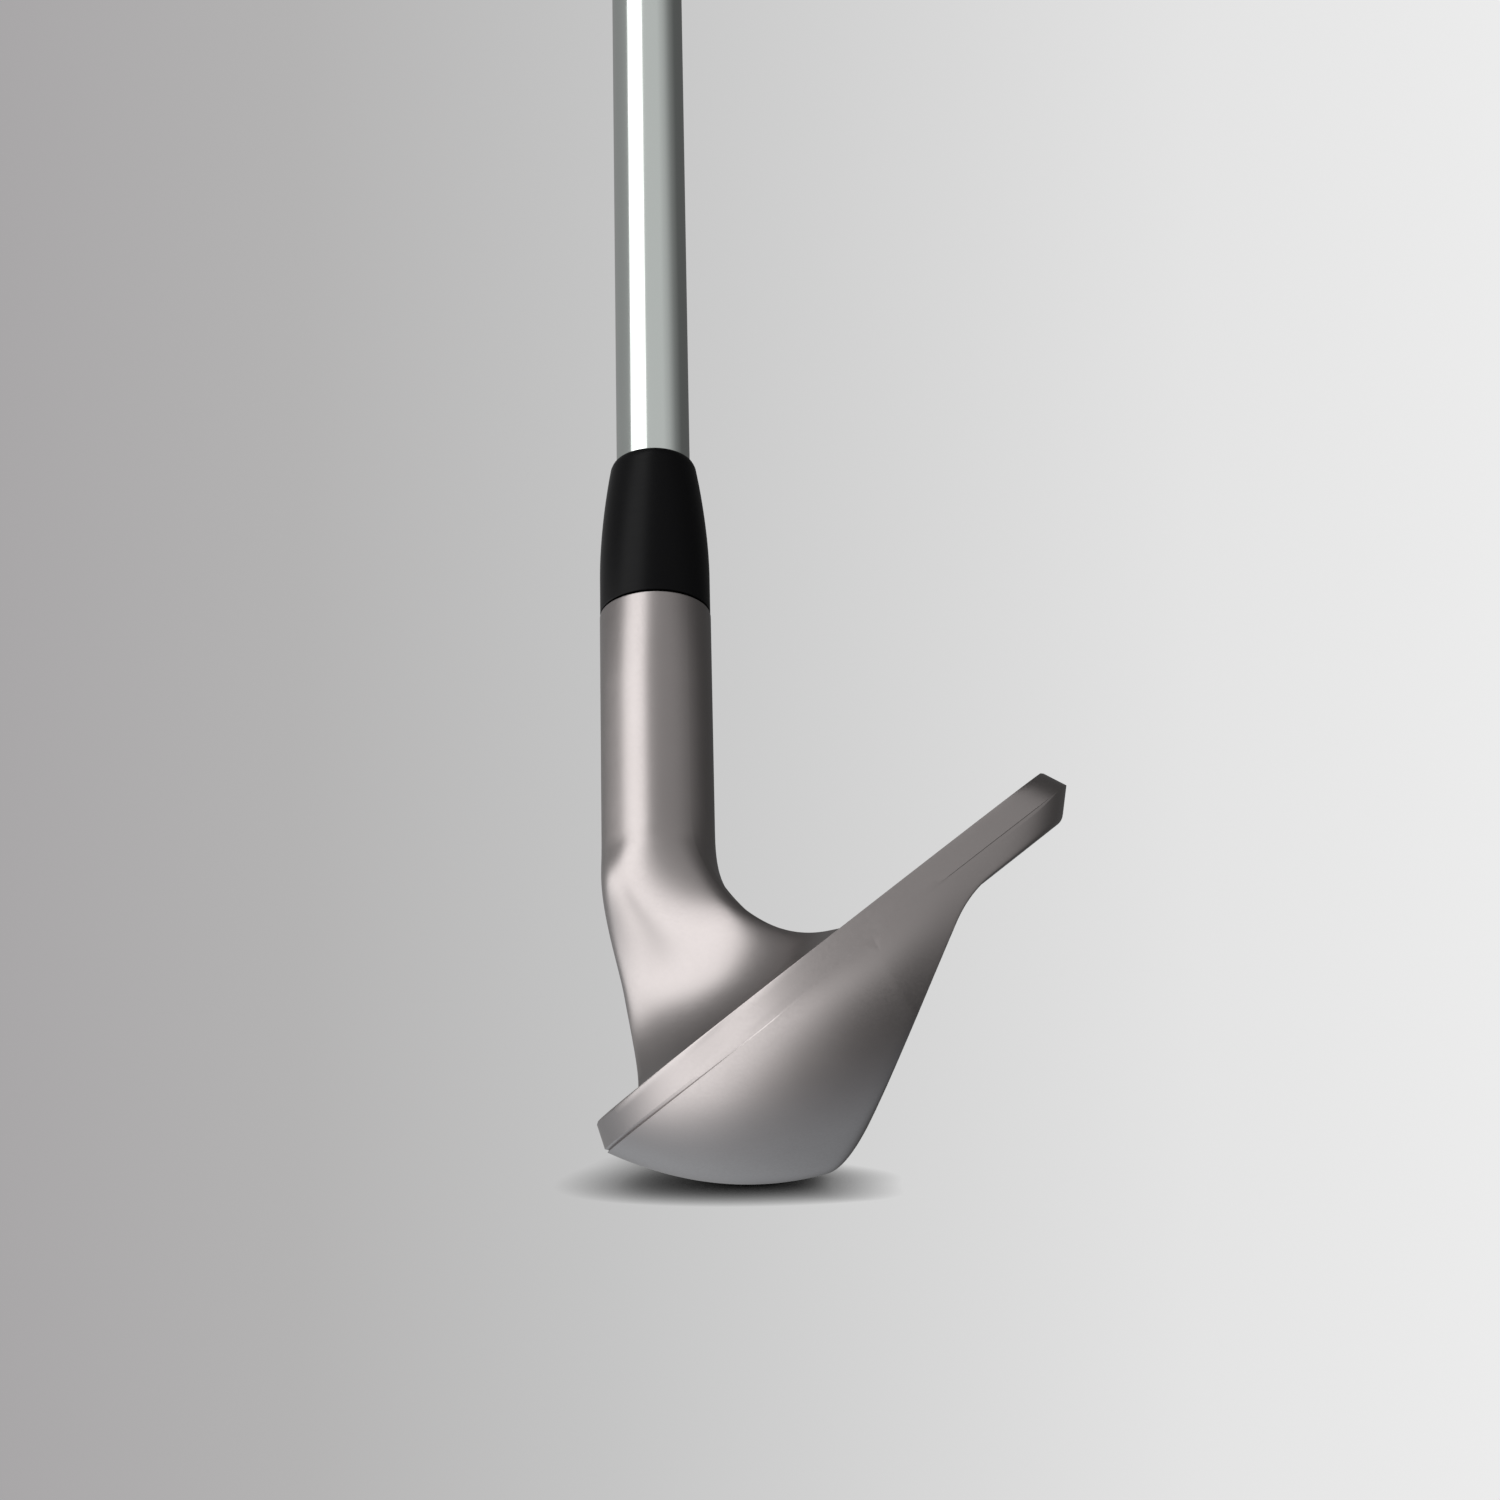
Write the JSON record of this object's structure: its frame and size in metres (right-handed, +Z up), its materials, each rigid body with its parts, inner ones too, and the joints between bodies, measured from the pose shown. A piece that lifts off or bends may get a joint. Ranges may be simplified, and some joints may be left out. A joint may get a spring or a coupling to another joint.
{
  "type": "iron golf club",
  "caption": "Left-handed high-lofted iron with a forged head, chromed stepped steel shaft, black ferrule and rubber grip.",
  "frame": {"origin": "centre of the upper hand's hold, on the shaft axis inside the grip", "axes": "the club stands as at address: +Z up, +Y towards the player and the heel, -Y towards the toe, -X towards the target, which the face looks at; the sole rests on a floor 717 mm below the origin"},
  "size_m": [0.1182, 0.4728, 0.8139],
  "materials": {
    "satin_steel": "fine bead-blasted satin with a warm grey tone",
    "shaft_chrome": "polished chrome plate",
    "cured_epoxy": "cured adhesive",
    "tip_brass": "turned brass",
    "ferrule_plastic": "buffed black cellulose plastic",
    "band_foil": "dull foil",
    "tape_paper": "creped paper tape",
    "grip_rubber": "matte moulded rubber",
    "cap_rubber": "matte moulded rubber"
  },
  "bodies": {
    "root": {"head": "satin_steel", "shaft": "shaft_chrome", "hosel_epoxy": "cured_epoxy", "tip_weight": "tip_brass", "ferrule": "ferrule_plastic", "shaft_band": "band_foil", "grip_tape": "tape_paper", "grip": "grip_rubber", "grip_cap": "cap_rubber"}
  },
  "joints": []
}
